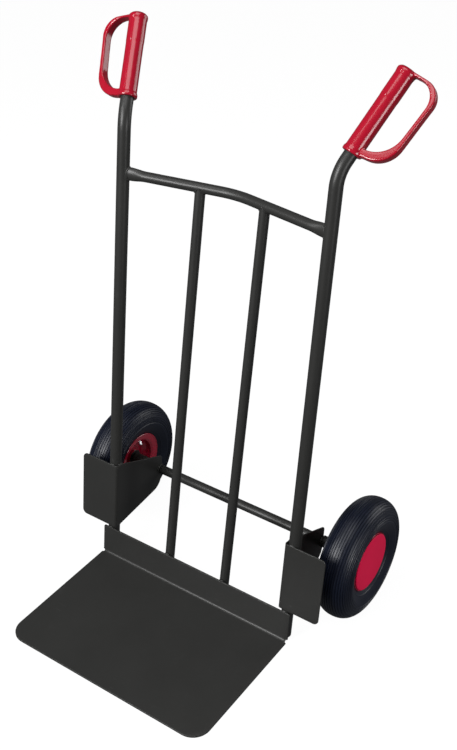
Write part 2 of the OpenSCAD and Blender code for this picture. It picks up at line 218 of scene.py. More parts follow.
def red_enamel():
    """Gloss red enamel on pressed steel, with orange peel and a little road dust."""
    f = Finish("red_rim_enamel")
    peel = f.noise(2.2, 2)
    dust = f.step(f.noise(14, 5, 0.65), 0.48, 0.75)
    cloud = f.noise(40, 2)
    base = f.mix(cloud, rgb(132, 12, 36), rgb(152, 18, 46))
    base = f.mix(dust * 0.25, base, rgb(104, 26, 40))
    rough = 0.24 + dust * 0.25
    return f.surface(Base_Color=base, Roughness=rough, Specular_IOR_Level=0.5, Coat_Weight=0.3,
                     Coat_Roughness=0.12, Normal=f.bump(peel, 0.06, 0.3))


def red_cap():
    """Satin red moulded hub cap with a fine spark-eroded grain."""
    f = Finish("red_cap_moulding")
    grain = f.noise(0.7, 3, 0.6)
    cloud = f.noise(45, 3, 0.55)
    scuff = f.step(f.noise(9, 5, 0.7, warp=0.8), 0.62, 0.8)
    base = f.mix(cloud, rgb(188, 6, 56), rgb(204, 8, 64))
    base = f.mix(scuff * 0.2, base, rgb(204, 40, 88))
    rough = 0.40 + scuff * 0.15 + grain * 0.08
    return f.surface(Base_Color=base, Roughness=rough, Specular_IOR_Level=0.18,
                     Normal=f.bump(grain, 0.03, 0.25))


def tyre_rubber():
    """Blue-black tyre rubber: mould grain, a bloom of wax and dust on the ribs."""
    f = Finish("ribbed_tyre_rubber")
    grain = f.noise(0.9, 3, 0.6)
    bloom = f.noise(30, 4, 0.6, warp=0.5)
    dust = f.step(f.noise(5, 5, 0.7), 0.5, 0.8)
    base = f.mix(bloom, rgb(3, 7, 19), rgb(8, 14, 30))
    base = f.mix(dust * 0.12, base, rgb(40, 48, 64))
    rough = 0.36 + bloom * 0.12 + dust * 0.1
    return f.surface(Base_Color=base, Roughness=rough, Specular_IOR_Level=0.32,
                     Normal=f.bump(grain, 0.03, 0.15))


def butyl_tube():
    """Matt black inner tube rubber with talc."""
    f = Finish("inner_tube_butyl")
    talc = f.step(f.noise(12, 5, 0.7), 0.45, 0.75)
    base = f.mix(talc * 0.5, rgb(30, 30, 32), rgb(120, 120, 120))
    return f.surface(Base_Color=base, Roughness=0.6 + talc * 0.25, Specular_IOR_Level=0.3,
                     Normal=f.bump(f.noise(1.5, 3), 0.08, 0.4))


def metal(name, dark, light, rough, streak, peel=0.4):
    """Bare or plated metal, with fine marks of its making drawn out by streak."""
    f = Finish(name)
    marks = f.noise(0.8, 3, 0.6, stretch=streak)
    cloud = f.noise(11, 4, 0.6)
    stain = f.step(f.noise(6, 5, 0.7), 0.55, 0.8)
    base = f.mix(cloud, dark, light)
    base = f.mix(stain * 0.3, base, tuple(0.5 * c for c in dark[:3]) + (1,))
    return f.surface(Base_Color=base, Metallic=1.0, Roughness=rough + marks * 0.12 + stain * 0.15,
                     Normal=f.bump(marks, 0.03, peel))


def cage_nylon():
    """Natural nylon roller cage, a little translucent looking and greasy."""
    f = Finish("roller_cage_nylon")
    grease = f.step(f.noise(5, 4, 0.6), 0.45, 0.7)
    base = f.mix(grease * 0.6, rgb(214, 208, 190), rgb(150, 128, 88))
    return f.surface(Base_Color=base, Roughness=0.5 - grease * 0.25, Normal=f.bump(f.noise(0.8, 2), 0.03, 0.3))


COAT = powder_coat()
MOULDING = red_moulding()
ENAMEL = red_enamel()
CAP = red_cap()
RUBBER = tyre_rubber()
BUTYL = butyl_tube()
ZINC = metal("bright_zinc_plate", rgb(168, 171, 176), rgb(206, 208, 211), 0.26, (1, 4, 4))
# Dark blackened steel: the hidden retaining rings' own finish, and on the inner washer painted shade that keeps the
# hub's mouth dark.
SPRING_STEEL_AND_SHADE = metal("blackened_steel_and_painted_shade", rgb(46, 44, 44), rgb(70, 66, 64), 0.38, (1, 3, 3))
GROUND = metal("ground_bearing_steel", rgb(186, 187, 189), rgb(216, 216, 217), 0.16, (6, 1, 1))
NICKEL = metal("nickel_plated_brass", rgb(196, 197, 201), rgb(232, 233, 236), 0.16, (1, 1, 3))
NYLON = cage_nylon()

# ---------------------------------------------------------------- shapes


def leaned(points):
    """From the frame's own plane (across, behind, along the uprights) to the floor's."""
    x, v, w = np.moveaxis(np.asarray(points, float), -1, 0)
    return np.stack([x, v * math.cos(LEAN) + w * math.sin(LEAN) + FOOT_Y,
                     w * math.cos(LEAN) - v * math.sin(LEAN)], -1)


def handled(points):
    """From the handle (Z along it, from where its line leaves the upright's) to the floor's."""
    turn = Matrix.Rotation(HANDLE_TURN, 3, "Z") @ Matrix.Rotation(HANDLE_BEND, 3, "Y")
    return leaned(np.asarray(points, float) @ np.array(turn).T + [UPRIGHT_X, 0, HANDLE_W])


def wheeled(points):
    """From a wheel's own frame (Z along the axle, outward) to the right-hand wheel's place."""
    points = np.asarray(points, float)
    return np.stack([points[..., 2], points[..., 1], -points[..., 0]], -1) + WHEEL_CENTRE


def quads(rows, columns, wrap=False, loop=False):
    """Faces of a net of rows x columns points; wrap joins the last column to the first, loop the rows."""
    faces = []
    for i in range(rows if loop else rows - 1):
        k = (i + 1) % rows
        for j in range(columns if wrap else columns - 1):
            m = (j + 1) % columns
            faces.append((i * columns + j, i * columns + m, k * columns + m, k * columns + j))
    return faces


def joined(*parts):
    """Several (points, faces) as one."""
    points, faces, count = [], [], 0
    for part_points, part_faces in parts:
        part_points = np.asarray(part_points, float).reshape(-1, 3)
        points.append(part_points)
        faces += [tuple(i + count for i in face) for face in part_faces]
        count += len(part_points)
    return np.concatenate(points), faces


def rounded(corners, steps=4, closed=True):
    """Outline through corners (a, b, radius), each corner rounded to its radius."""
    made = []
    count = len(corners)
    for i, (a, b, radius) in enumerate(corners):
        here = np.array([a, b], float)
        if radius == 0 or (not closed and i in (0, count - 1)):
            made.append(here)
            continue
        before = np.array(corners[i - 1][:2], float) - here
        after = np.array(corners[(i + 1) % count][:2], float) - here
        lengths = np.linalg.norm(before), np.linalg.norm(after)
        before, after = before / lengths[0], after / lengths[1]
        half = math.acos(max(-1, min(1, before @ after))) / 2
        cut = min(radius / math.tan(half), 0.48 * min(lengths))
        start, end = here + before * cut, here + after * cut
        for k in range(steps + 1):
            t = k / steps
            made.append((1 - t) ** 2 * start + 2 * t * (1 - t) * here + t * t * end)
    return np.array(made)


def turned(outline, around=96, loop=True, wave=None):
    """Solid of revolution about Z from an outline of (radius, height). wave changes the radius by angle."""
    outline = np.asarray(outline, float)
    angles = np.arange(around) * 2 * math.pi / around
    radius = np.repeat(outline[None, :, 0], around, 0)
    if wave is not None:
        radius = radius + wave(angles[:, None], outline[None, :, 0], outline[None, :, 1])
    points = np.stack([radius * np.cos(angles)[:, None], radius * np.sin(angles)[:, None],
                       np.repeat(outline[None, :, 1], around, 0)], -1)
    count = len(outline)
    faces = []
    for i in range(around):
        k = (i + 1) % around
        for j in range(count if loop else count - 1):
            m = (j + 1) % count
            faces.append((i * count + j, k * count + j, k * count + m, i * count + m))
    return points.reshape(-1, 3), faces


def tube(rings, bore=None):
    """Round bar or tube from rings of points along its run. bore holds the inner rings."""
    rings = np.asarray(rings, float)
    rows, columns = rings.shape[:2]
    if bore is None:
        faces = quads(rows, columns, wrap=True)
        faces += [tuple(range(columns))[::-1], tuple((rows - 1) * columns + j for j in range(columns))]
        return rings.reshape(-1, 3), faces
    both = np.concatenate([rings, np.asarray(bore, float)[::-1]])
    return both.reshape(-1, 3), quads(len(both), columns, wrap=True, loop=True)


def circle(radius, wide=1.0, high=1.0, count=AROUND):
    angles = np.arange(count) * 2 * math.pi / count
    return radius * wide * np.cos(angles), radius * high * np.sin(angles)


def sheet_metal(place, outline, length, thick, edge, stations, across=25):
    """Sheet of even thickness with soft edges. place(s) gives the middle plane's point maker at
    distance s and its normal; outline(s, inset) gives the sheet's two limits there."""
    def net(inset, height):
        rows = []
        for s in inset + (length - 2 * inset) * stations:
            low, high = outline(s, inset)
            rows.append(place(s, low + (high - low) * np.linspace(0, 1, across), height))
        return np.array(rows)

    steps = 3
    curve = [(edge * (1 - math.cos(t)), thick / 2 - edge * (1 - math.sin(t)))
             for t in (math.pi / 2 * k / steps for k in range(steps + 1))]
    layers = [(inset, height) for inset, height in reversed(curve)]
    layers += [(inset, -height) for inset, height in curve]
    top, bottom = net(*layers[0]), net(*layers[-1])
    rows, columns = top.shape[:2]
    rim = ([(0, j) for j in range(columns)] + [(i, columns - 1) for i in range(1, rows)]
           + [(rows - 1, j) for j in range(columns - 2, -1, -1)] + [(i, 0) for i in range(rows - 2, 0, -1)])
    loops = np.array([[net(*layer)[i, j] for i, j in rim] for layer in layers])
    face_up = [face[::-1] for face in quads(rows, columns)]
    return joined((top, face_up), (bottom, quads(rows, columns)), (loops, quads(*loops.shape[:2], wrap=True)))


def weld_bead(curve, size=2.1, closed=False, seed=1):
    """Rippled weld bead along a line of points, painted over."""
    curve = np.asarray(curve, float)
    if closed:
        curve = np.concatenate([curve, curve[:1]])
    gaps = np.linalg.norm(np.diff(curve, axis=0), axis=1)
    run = np.concatenate([[0], np.cumsum(gaps)])
    count = max(8, int(run[-1] / 0.5))
    places = np.linspace(0, run[-1], count, endpoint=not closed)
    path = np.stack([np.interp(places, run, curve[:, k]) for k in range(3)], -1)
    if closed:
        ahead = np.roll(path, -1, 0) - np.roll(path, 1, 0)
    else:
        ahead = np.gradient(path, axis=0)
    ahead /= np.linalg.norm(ahead, axis=1)[:, None]
    random = np.random.default_rng(seed)
    drift = np.interp(places, np.linspace(0, run[-1], max(4, int(run[-1] / 6))),
                      random.uniform(0.88, 1.12, max(4, int(run[-1] / 6))))
    swell = 0.86 + 0.16 * np.abs(np.sin(math.pi * places / 1.9))
    taper = np.ones(count) if closed else np.sqrt(np.clip(np.minimum(places, run[-1] - places) / size, 0.05, 1))
    rings = []
    for p, t, r in zip(path, ahead, size * drift * swell * taper):
        first = np.cross(t, Z_AXIS if abs(t[2]) < 0.8 else X_AXIS)
        first /= np.linalg.norm(first)
        second = np.cross(t, first)
        cosine, sine = circle(r, count=10)
        rings.append(p + np.outer(cosine, first) + np.outer(sine, second))
    rings = np.array(rings)
    if closed:
        return rings.reshape(-1, 3), quads(*rings.shape[:2], wrap=True, loop=True)
    return tube(rings)


# ---------------------------------------------------------------- pieces


def piece(name, shape, finish, body, nodes=(), left=False, crease=40):
    """Makes one piece from points and faces in millimetres, riding on a CAD body."""
    points, faces = shape
    points = np.array(points, float) * MM
    if left:
        points[:, 0] *= -1
    mesh = bpy.data.meshes.new(name)
    mesh.from_pydata(points.tolist(), [], faces)
    build = bmesh.new()
    build.from_mesh(mesh)
    bmesh.ops.remove_doubles(build, verts=build.verts, dist=1e-6)
    bmesh.ops.recalc_face_normals(build, faces=build.faces)
    build.to_mesh(mesh)
    build.free()
    mesh.materials.append(finish)
    mesh.polygons.foreach_set("use_smooth", [True] * len(mesh.polygons))
    mesh.set_sharp_from_angle(angle=math.radians(crease))
    made = bpy.data.objects.new(name, mesh)
    bpy.context.scene.collection.objects.link(made)
    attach(made, body)
    if nodes:
        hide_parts(*nodes)
    return made


def pair(part, shape, finish, body="frame", stands_for=None, crease=40):
    """The right-hand piece and its mirror image. A body named wheel is each side's own wheel."""
    for side in ("left", "right"):
        rides = body if body == "frame" else f"{side}_{body}"
        nodes = [f"{side}_{node}" for node in (stands_for or ())]
        piece(f"{side}_{part}", shape, finish, rides, nodes, left=side == "left", crease=crease)


def upright_path(steps=14):
    """Points along an upright's centre line in the plane of its bend, each with its tangent's angle."""
    start = HANDLE_W - HANDLE_R * math.tan(HANDLE_BEND / 2)
    path = [(0.0, w, 0.0) for w in np.linspace(2, start, 24)]
    path += [(HANDLE_R * (1 - math.cos(t)), start + HANDLE_R * math.sin(t), t)
             for t in np.linspace(0, HANDLE_BEND, steps + 1)[1:]]
    a, w, t = path[-1]
    path += [(a + d * math.sin(t), w + d * math.cos(t), t) for d in (10, 30, 60, 110, 150)]
    return path


def upright_rings(radius):
    """Rings along an upright, oval by a hair in its bend; the first is cut level above the floor."""
    rings = []
    for a, w, t in upright_path():
        squeeze = 1 - 0.02 * math.sin(math.pi * t / HANDLE_BEND)
        side, cross = circle(radius)
        place = np.stack([a + side * squeeze * math.cos(t), cross, w - side * squeeze * math.sin(t)], -1)
        turn = np.array(Matrix.Rotation(HANDLE_TURN, 3, "Z"))
        rings.append(place @ turn.T + [UPRIGHT_X, 0, 0])
    foot = rings[0]
    foot[:, 2] = (4 + foot[:, 1] * math.sin(LEAN)) / math.cos(LEAN)
    return leaned(rings)


def crossbar_path():
    """Right half of the crossbar's centre line: points and headings, from the middle to the upright."""
    centre = BOW_BACK - BOW_R / math.cos(BOW)
    path = [(BOW_R * math.sin(t), centre + BOW_R * math.cos(t), -t) for t in np.linspace(0, BOW, 9)]
    x, v, heading = path[-1]
    full = (UPRIGHT_X - x) / math.cos(heading)
    runs = np.concatenate([np.linspace(0, full - 62, 8)[1:], np.linspace(full - 56, full - 11, 16)])
    return path + [(x + d * math.cos(heading), v + d * math.sin(heading), heading) for d in runs]


def crossbar_rings(wall):
    """Rings along the whole crossbar. Its ends are pressed flatter and taller, and fit the uprights."""
    half = []
    path = crossbar_path()
    end = path[-1][0]
    for x, v, heading in path:
        press = np.clip((x - (end - 36)) / 30, 0, 1)
        press = press * press * (3 - 2 * press)
        depth, height = BAR_R * (1 - 0.30 * press) - wall, BAR_R * (1 + 0.30 * press) - wall
        along_side, up = circle(1)
        side = np.array([-math.sin(heading), math.cos(heading), 0])
        ring = np.array([x, v, CROSSBAR_W]) + np.outer(depth * along_side, side) + np.outer(height * up, Z_AXIS)
        half.append(ring)
    heading = np.array([math.cos(path[-1][2]), math.sin(path[-1][2]), 0])
    last = half[-1]
    for j, point in enumerate(last):
        offset = point[:2] - [UPRIGHT_X, 0]
        b = offset @ heading[:2]
        last[j] += heading * (-b - math.sqrt(b * b - offset @ offset + (UPRIGHT_R - 0.1) ** 2))
    half = np.array(half)
    left = half[:0:-1].copy()
    left[..., 0] *= -1
    left = np.roll(left[:, ::-1], 1, axis=1)
    return np.concatenate([mirror_match(left, half[0]), half])


def mirror_match(rings, model):
    """Turns the order of each ring's points so that they lie beside the model ring's points."""
    target = model - model.mean(0)
    ring = rings[-1] - rings[-1].mean(0)
    best = min(((np.abs(np.roll(r, k, 0) - target).sum(), k, flip) for flip, r in
                ((False, ring), (True, ring[::-1])) for k in range(len(ring))), key=lambda t: t[0])
    _, k, flip = best
    return np.array([np.roll(r[::-1] if flip else r, k, 0) for r in rings])


def bar_rings(radius):
    """Rings along an inner bar, from behind the load plate to its coped top under the crossbar."""
    foot = np.array([BAR_X, BAR_R + 0.1 - UPRIGHT_R, 14.0])
    top = np.array([BAR_X, (UPRIGHT_X - BAR_X) * math.tan(BOW), CROSSBAR_W])
    ahead = (top - foot) / np.linalg.norm(top - foot)
    side = np.cross(ahead, X_AXIS)
    wide, deep = circle(radius)
    rings = [foot + (top - foot) * t + np.outer(wide, X_AXIS) + np.outer(deep, side)
             for t in np.linspace(0, 0.93, 20)]
    last = rings[-1]
    line = np.array([math.cos(BOW), -math.sin(BOW), 0])
    middle = np.array([0, BOW_BACK, CROSSBAR_W])
    coped = []
    for point in last:
        gap = point - middle
        gap = gap - (gap @ line) * line
        step = ahead - (ahead @ line) * line
        a, b, c = step @ step, gap @ step, gap @ gap - (BAR_R - 0.3) ** 2
        coped.append(point + ahead * (-b - math.sqrt(max(b * b - a * c, 0))) / a)
    return leaned(rings + [np.array(coped)])


def plate_place(s, across, height):
    """Point of the load plate at distance s from its front edge, height above its middle plane."""
    middle = PLATE_BEND_R + PLATE_T / 2
    turn = (s - PLATE_FLAT) / middle
    if turn <= 0:
        y, z = PLATE_LOW[1] + s, PLATE_T / 2 + height
    else:
        over = max(0.0, turn - (math.pi / 2 - LEAN)) * middle
        angle = min(turn, math.pi / 2 - LEAN) - math.pi / 2
        y = PLATE_BEND_Y + (middle - height) * math.cos(angle) + over * math.sin(LEAN)
        z = PLATE_OUTER_R + (middle - height) * math.sin(angle) + over * math.cos(LEAN)
    return np.stack([across, np.full_like(across, y), np.full_like(across, z)], -1)


def load_plate():
    """Flat plate with round front corners, a bend and a leaned rear edge with relieved ends."""
    half, corner, soft, relief = PLATE_HIGH[0], 38.0, 3.0, 4.0
    bend = (PLATE_BEND_R + PLATE_T / 2) * (math.pi / 2 - LEAN)
    rise = (PLATE_HIGH[2] - PLATE_OUTER_R * (1 - math.sin(LEAN))) / math.cos(LEAN)
    length = PLATE_FLAT + bend + rise
    notch = PLATE_FLAT + bend * 0.45

    def outline(s, inset):
        wide = half - inset
        if s < corner:
            wide = half - corner + math.sqrt(max((corner - inset) ** 2 - (corner - s) ** 2, 0))
        if s > length - soft:
            wide = half - soft + math.sqrt(max((soft - inset) ** 2 - (s - length + soft) ** 2, 0))
        if abs(s - notch) < relief + inset:
            wide = min(wide, half - math.sqrt((relief + inset) ** 2 - (s - notch) ** 2))
        return -wide, wide

    stops = np.concatenate([
        corner * (1 - np.cos(np.linspace(0, math.pi / 2, 18))), np.linspace(corner, PLATE_FLAT - 6, 20)[1:],
        np.linspace(PLATE_FLAT - 6, PLATE_FLAT + bend + 8, 52)[1:],
        np.linspace(PLATE_FLAT + bend + 8, length - soft, 8)[1:],
        length - soft * (1 - np.sin(np.linspace(0, math.pi / 2, 7)))[1:]])
    return sheet_metal(plate_place, outline, length, PLATE_T, 0.9, stops / length, across=33)


def wheel_guard():
    """Bent guard: across the front of the upright, round a tight bend and back to the axle."""
    low, high = GUARD_W
    thick, bend_in, face = 3.0, 3.0, UPRIGHT_R + 0.05
    middle = bend_in + thick / 2
    corner_at = bend_in - face
    front = GUARD_HIGH[0] - UPRIGHT_X
    reach = front - corner_at
    bend = middle * math.pi / 2
    rear = AXLE_V + 2.5
    corner, foot_r, top_r = 11.0, 32.0, 10.0
    foot_slope, top_slope = math.atan(0.235), math.atan(0.315)
    foot_v, top_v = rear - foot_r, rear - top_r
    foot_w = low + foot_v * math.tan(foot_slope) + foot_r / math.cos(foot_slope)
    top_w = high - top_v * math.tan(top_slope) - top_r / math.cos(top_slope)
    length = reach + bend + rear - corner_at

    def outline(s, inset):
        v = s - reach - bend + corner_at
        lower, upper = low + inset, high - inset
        if s < corner:
            round_off = corner - math.sqrt(max((corner - inset) ** 2 - (corner - s) ** 2, 0))
            return low + round_off, high - round_off
        if v > 0:
            lower = low + v * math.tan(foot_slope) + inset / math.cos(foot_slope)
            upper = high - v * math.tan(top_slope) - inset / math.cos(top_slope)
        if v > foot_v + (foot_r - inset) * math.sin(foot_slope):
            lower = foot_w - math.sqrt(max((foot_r - inset) ** 2 - (v - foot_v) ** 2, 0))
        if v > top_v + (top_r - inset) * math.sin(top_slope):
            upper = top_w + math.sqrt(max((top_r - inset) ** 2 - (v - top_v) ** 2, 0))
        return lower, upper

    def place(s, along_w, height):
        x, v = front - s, -face - thick / 2 - height
        if s > reach:
            angle = -math.pi / 2 - min(s - reach, bend) / middle
            x = corner_at + (middle + height) * math.cos(angle)
            v = corner_at + (middle + height) * math.sin(angle) + max(s - reach - bend, 0)
        return leaned(np.stack([np.full_like(along_w, UPRIGHT_X + x), np.full_like(along_w, v), along_w], -1))

    quarter = np.linspace(0, math.pi / 2, 26)
    stops = np.concatenate([
        corner * (1 - np.cos(quarter[::2])), np.linspace(corner, reach, 7)[1:],
        np.linspace(reach, reach + bend, 15)[1:], np.linspace(reach + bend, length - foot_r, 12)[1:],
        length - foot_r * (1 - np.sin(quarter))[1:]])
    return sheet_metal(place, outline, length, thick, 0.8, stops / length, across=21)


def axle():
    """Axle with chamfered ends and a groove at each end for its retaining ring."""
    half, groove = WHEEL_CENTRE[0] + 22, WHEEL_CENTRE[0] + 18.5
    right = [(0, half, 0), (AXLE_R - 1.5, half, 0.2), (AXLE_R, half - 1.5, 0.2), (AXLE_R, groove + 1.3, 0.1),
             (AXLE_R - 1, groove + 1.3, 0.1), (AXLE_R - 1, groove, 0.1), (AXLE_R, groove, 0.1)]
    outline = rounded([(r, -z, soft) for r, z, soft in right] + right[::-1], 2, closed=False)
    points, faces = turned(outline, 48, loop=False)
    points = np.stack([points[:, 2], points[:, 1], -points[:, 0]], -1)
    return points + [0, WHEEL_CENTRE[1], WHEEL_CENTRE[2]], faces


def welds():
    """Every weld bead of the frame, on both sides."""
    beads = []
    crossbar_end = crossbar_rings(0)[-1]
    beads.append(weld_bead(leaned(crossbar_end), 1.9, closed=True, seed=3))
    beads.append(weld_bead(bar_rings(BAR_R)[-1], 1.8, closed=True, seed=4))

    def ring_on(x, v, radius, start, stop, w):
        angles = np.radians(np.linspace(start, stop, 30))
        return leaned(np.stack([x + radius * np.cos(angles), v + radius * np.sin(angles),
                                np.full(30, w)], -1))

    for w in GUARD_W:
        for middle in (180, 270):
            beads.append(weld_bead(ring_on(UPRIGHT_X, 0, UPRIGHT_R + 0.8, middle - 26, middle + 26, w), 1.7, seed=5))
    plate_top = PLATE_HIGH[2] / math.cos(LEAN) - 1.6
    for x, v, r in ((UPRIGHT_X, 0, UPRIGHT_R), (BAR_X, BAR_R + 0.1 - UPRIGHT_R, BAR_R)):
        beads.append(weld_bead(ring_on(x, v, r + 0.6, -118, -62, plate_top), 1.8, seed=7))
        for side in (-1, 1):
            w = np.linspace(22, plate_top - 1, 12)
            x_line = x + side * (0.42 * r)
            line = np.stack([np.full(12, x_line), np.full(12, -UPRIGHT_R + 0.9), w], -1)
            beads.append(weld_bead(leaned(line), 1.9, seed=8 + side))
    angles = np.radians(np.linspace(72, 288, 50))
    for face in (-13.9 - 0.1 - 1.5, -13.9 + 1.5):
        circle_points = np.stack([np.full(50, UPRIGHT_X + face), AXLE_V + (AXLE_R + 0.7) * np.cos(angles),
                                  AXLE_W + (AXLE_R + 0.7) * np.sin(angles)], -1)
        beads.append(weld_bead(leaned(circle_points), 2.1, seed=11))
    right = joined(*beads)
    left = right[0] * [-1, 1, 1], right[1]
    return joined(right, left)


def tyre():
    """Ribbed tyre: fine ribs round the tread, thin lines on the shoulders, plain sidewalls and beads."""
    shoulder, tread, air = 92.0, 7.0, TYRE_HALF - 5
    power = 2 / 2.2

    def crown(high, wide, count):
        s = np.linspace(0, math.pi / 2, count)
        return np.stack([shoulder + high * np.sin(s) ** power, wide * np.abs(np.cos(s)) ** power], -1)

    dense = crown(TYRE_R - shoulder, TYRE_HALF, 1500)
    run = np.concatenate([[0], np.cumsum(np.linalg.norm(np.diff(dense, axis=0), axis=1))])
    from_top = run[-1] - run
    places = np.arange(0, from_top[0], 0.42)
    base = np.stack([np.interp(places, from_top[::-1], dense[::-1, k]) for k in range(2)], -1)
    slope = np.gradient(base, axis=0)
    slope /= np.linalg.norm(slope, axis=1)[:, None]
    inward = np.stack([slope[:, 1], -slope[:, 0]], -1)
    inward *= np.sign((np.array([shoulder, 0]) - base) @ inward[len(inward) // 2])[:, None]

    def cut(s):
        pitch = 5.4
        phase = np.abs((s + pitch / 2) % pitch - pitch / 2)
        tread_cut = 1.7 * np.clip((phase - 1.5) / 0.6, 0, 1) * (s < 37.8)
        line = np.abs((s - 39) % 5.2 - 2.6)
        shoulder_cut = (1.1 - 1.1 * np.clip((1.1 - line) / 0.45, 0, 1)) * np.clip((s - 37.8) / 1.5, 0, 1)
        shoulder_cut *= np.clip((63 - s) / 3, 0, 1)
        return tread_cut + shoulder_cut

    outer = (base + inward * cut(places)[:, None])[::-1]

    def sidewall(from_r, from_z, wide, count):
        s = np.linspace(1, 0, count)
        return np.stack([shoulder - (shoulder - from_r) * s, wide - (wide - from_z) * s ** 1.6], -1)

    side = sidewall(66, 28, TYRE_HALF, 40)
    side[:, 1] += 0.5 * np.exp(-((side[:, 0] - 87) / 0.7) ** 2) - 0.2 * (side[:, 0] < 91)
    side[:, 1] += 0.6 * np.exp(-((side[:, 0] - 72) / 0.9) ** 2)
    bead = rounded([(47.2, 16.5, 0), (47.2, 20.6, 1), (50.9, 22.9, 2), (60.2, 24.6, 2), (63.2, 25.2, 0.6),
                    (64.1, 26.4, 0.5), (side[0][0], side[0][1], 0)], closed=False)
    half = np.concatenate([bead[:-1], side[:-1], outer])
    inner = np.concatenate([[(57, 12)], sidewall(60, 18, air, 8), crown(TYRE_R - tread - shoulder, air, 14)[1:]])
    other = half[-2::-1] * [1, -1]
    inner_other = inner[-2::-1] * [1, -1]
    hollow = np.concatenate([inner, inner_other])[::-1]
    return turned(np.concatenate([half, other, hollow]), 168)


def rim(outward):
    """Pressed rim half: web with a raised boss, well, bead seat, dished flange and rolled lip."""
    s = 1 if outward else -1
    corners = [(18.55, 0, 0.3), (39, 0, 3), (47, 9, 3), (47, 21, 2), (51, 23.2, 2), (60, 24.8, 1.5), (62, 25.3, 0.6),
               (63.3, 26.4, 0.5), (63.3, 27.5, 0.5), (62.4, 28.1, 0.4), (61.4, 27.6, 0.4), (59.5, 26.9, 1.2),
               (50, 25.2, 2), (45, 22.2, 2), (45, 10, 3), (38, 2, 3), (34.5, 2, 1.2), (33.5, 3.0, 1),
               (24.8, 3.0, 1), (23.6, 2, 1), (18.55, 2, 0.3)]
    outline = rounded([(r, s * z, soft) for r, z, soft in corners], 4)
    points, faces = turned(outline, 128)
    return wheeled(points), faces


def hub():
    """Hub tube with chamfered ends and a weld fillet where it passes through the rim."""
    start, end, bore, r = -11.0, 16.0, 16.0, 18.5
    corners = [(bore + 0.8, start, 0.2), (r - 0.5, start, 0.5), (r, start + 0.7, 0.3), (r, -4.6, 2),
               (r + 2.4, -2.2, 0.6),
               (r + 0.02, -2.0, 0), (r, 2.0, 0), (r + 2.4, 2.2, 0.6), (r, 4.8, 2), (r, end - 1, 0.3),
               (r - 0.4, end, 0.4),
               (bore + 0.8, end, 0.2), (bore, end - 0.8, 0.2), (bore, start + 0.8, 0.2)]
    points, faces = turned(rounded(corners, 3), 72)
    return wheeled(points), faces


def hub_cap():
    """Flat cap that fills the rim's mouth: a soft edge, a faint crown and a moulded ring behind."""
    corners = [(0, 31.1, 0), (20, 31.05, 0), (40, 30.95, 0), (57.6, 30.8, 0), (59.4, 30.5, 1.0), (60.7, 29.9, 1.2),
               (61.3, 29.0, 0.8), (61.0, 28.2, 0.5), (59, 27.25, 0.6), (44.9, 27.25, 0.8), (44.9, 15, 0.5),
               (42.9, 15, 0.5), (42.9, 28.4, 1.0), (0, 28.4, 0)]
    points, faces = turned(rounded(corners, 4, closed=False), 128, loop=False)
    return wheeled(points), faces


def washer(inner, outer, start, end):
    points, faces = turned(rounded([(inner, start, 0.3), (outer, start, 0.4), (outer, end, 0.4),
                                    (inner, end, 0.3)], 3), 64)
    return wheeled(points), faces


def spacer():
    """Turned and painted spacer tube with chamfered ends. Its dark coat is partly the spacer's own paint, partly
    painted shade in the hub's mouth.
    """
    start, end = UPRIGHT_X - UPRIGHT_R + 0.1 - WHEEL_CENTRE[0], -13.4
    corners = [(10.3, start, 0.2), (12.0, start, 0.5), (12.5, start + 0.8, 0.3), (12.5, end - 0.8, 0.3),
               (12.0, end, 0.5), (10.3, end, 0.2)]
    points, faces = turned(rounded(corners, 3), 64)
    return wheeled(points), faces


VALVE_FOOT = [55.2, 0, -6.5]
VALVE_TILT = math.radians(-125)
VALVE_TURN = math.radians(160)


def thread(radius, start, end, pitch=1.0, depth=0.45):
    """Outline of a threaded stud from start to end."""
    count = int(abs(end - start) / pitch)
    outline = []
    for i in range(count):
        z = start + (end - start) * i / count
        outline += [(radius, z), (radius - depth, z + (end - start) / count * 0.5)]
    return outline + [(radius - depth, end)]


def at_valve(points):
    """From the valve's own frame (Z along its stem) to the wheel's."""
    tip = np.array(Matrix.Rotation(VALVE_TURN, 3, "Z"))
    lie = np.array(Matrix.Rotation(VALVE_TILT, 3, "Y"))
    return wheeled((np.asarray(points) @ lie.T + VALVE_FOOT) @ tip.T)


def valve():
    corners = [(1.0, -0.5), (4.2, -0.5), (4.5, -0.1), (4.5, 0.6), (4.1, 1.0), (3.3, 1.2), (3.2, 1.6), (3.2, 11.2),
               (3.0, 11.6), (3.2, 12.0), (3.2, 13.6), (2.6, 14.0)] + thread(2.6, 14.2, 23.4, 0.8, 0.3)
    corners += [(1.7, 24), (1.0, 24)]
    points, faces = turned(corners, 40)
    return at_valve(points), faces


def valve_cap():
    def knurl(angle, radius, height):
        return 0.16 * np.cos(20 * angle) * ((radius > 3.5) & (height > 18) & (height < 25.2))

    corners = [(2.68, 17, 0.1), (3.5, 17, 0.2), (3.62, 17.6, 0.1), (3.62, 18.1, 0), (3.64, 21, 0), (3.64, 24, 0),
               (3.62, 25.1, 0), (3.6, 25.6, 0.2), (3.1, 26.6, 0.6), (2.2, 27, 0.5), (0, 27, 0)]
    inside = [(0, 25, 0), (2.68, 25, 0.2)]
    points, faces = turned(rounded([inside[1]] + corners + inside[:1], 3, closed=False), 80, loop=False, wave=knurl)
    return at_valve(points), faces


GRIP_START, GRIP_END, GRIP_R = 37.5, 200.5, 16.75
GRIP_TURN = math.radians(-61)


